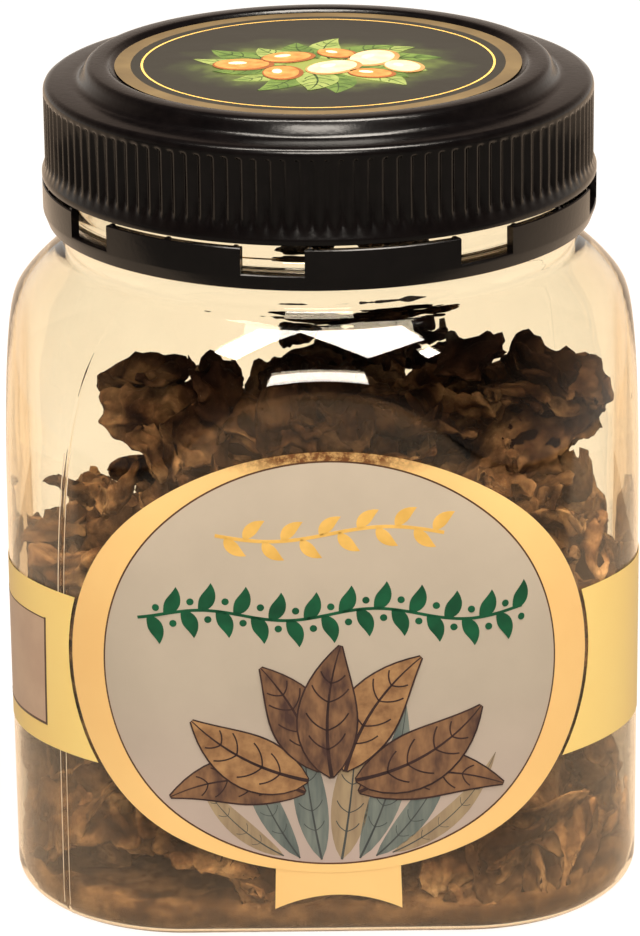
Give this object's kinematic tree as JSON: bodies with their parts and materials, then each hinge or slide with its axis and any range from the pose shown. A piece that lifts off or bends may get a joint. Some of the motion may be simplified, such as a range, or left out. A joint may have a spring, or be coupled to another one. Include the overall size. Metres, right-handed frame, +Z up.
{
  "type": "jar of dried black trumpet mushrooms",
  "caption": "Clear square plastic jar with a ribbed screw cap, tamper band and labels, filled with dried black trumpet mushrooms.",
  "frame": {"origin": "centre of the jar's base, on the surface it stands on", "axes": "+Z up along the jar's axis, and the front label faces -Y"},
  "size_m": [0.0984, 0.0985, 0.1262],
  "materials": {
    "clear_plastic": "clear, smooth, faintly warm PET",
    "black_plastic": "glossy moulded polypropylene",
    "liner_foam": "fine closed-cell foam",
    "label_film": "printed satin film, gold and grey-beige",
    "lid_sticker": "printed satin film, grey-green with a gold rim",
    "dried_mushroom": "dry, wrinkled, matt"
  },
  "bodies": {
    "jar": {"jar": "clear_plastic", "tamper_band": "black_plastic", "front_label": "label_film", "wrap_label": "label_film", "dried_trumpet_01": "dried_mushroom", "dried_trumpet_02": "dried_mushroom", "dried_trumpet_03": "dried_mushroom", "dried_trumpet_04": "dried_mushroom", "dried_trumpet_05": "dried_mushroom", "dried_trumpet_06": "dried_mushroom", "dried_trumpet_07": "dried_mushroom", "dried_trumpet_08": "dried_mushroom", "dried_trumpet_09": "dried_mushroom", "dried_trumpet_10": "dried_mushroom", "dried_trumpet_11": "dried_mushroom", "dried_trumpet_12": "dried_mushroom", "dried_trumpet_13": "dried_mushroom", "dried_trumpet_14": "dried_mushroom", "dried_trumpet_15": "dried_mushroom", "dried_trumpet_16": "dried_mushroom", "dried_trumpet_17": "dried_mushroom", "dried_trumpet_18": "dried_mushroom", "dried_trumpet_19": "dried_mushroom", "dried_trumpet_20": "dried_mushroom", "dried_trumpet_21": "dried_mushroom", "dried_trumpet_22": "dried_mushroom", "dried_trumpet_23": "dried_mushroom", "dried_trumpet_24": "dried_mushroom", "dried_trumpet_25": "dried_mushroom", "dried_trumpet_26": "dried_mushroom", "dried_trumpet_27": "dried_mushroom", "dried_trumpet_28": "dried_mushroom", "dried_trumpet_29": "dried_mushroom", "dried_trumpet_30": "dried_mushroom", "dried_trumpet_31": "dried_mushroom", "dried_trumpet_32": "dried_mushroom", "dried_trumpet_33": "dried_mushroom", "dried_trumpet_34": "dried_mushroom", "dried_trumpet_35": "dried_mushroom", "dried_trumpet_36": "dried_mushroom", "dried_trumpet_37": "dried_mushroom", "dried_trumpet_38": "dried_mushroom", "dried_trumpet_39": "dried_mushroom", "dried_trumpet_40": "dried_mushroom", "dried_trumpet_41": "dried_mushroom", "dried_trumpet_42": "dried_mushroom", "dried_trumpet_43": "dried_mushroom", "dried_trumpet_44": "dried_mushroom", "dried_trumpet_45": "dried_mushroom", "dried_trumpet_46": "dried_mushroom"},
    "liner": {"cap_liner": "liner_foam"},
    "cap": {"screw_cap": "black_plastic", "cap_sticker": "lid_sticker"}
  },
  "joints": [
    {"name": "cap_rise", "type": "slide", "parent": "jar", "child": "liner", "axis": [0, 0, 1], "range_m": [0, 0.005]},
    {"name": "cap_turn", "type": "hinge", "parent": "liner", "child": "cap", "pos_m": [0, 0, 0.1149], "axis": [0, 0, 1], "range_deg": [0, 360]}
  ],
  "couplings": [
    {"joint": "cap_rise", "follows": "cap_turn", "m_per_rad": 0.00079577}
  ]
}
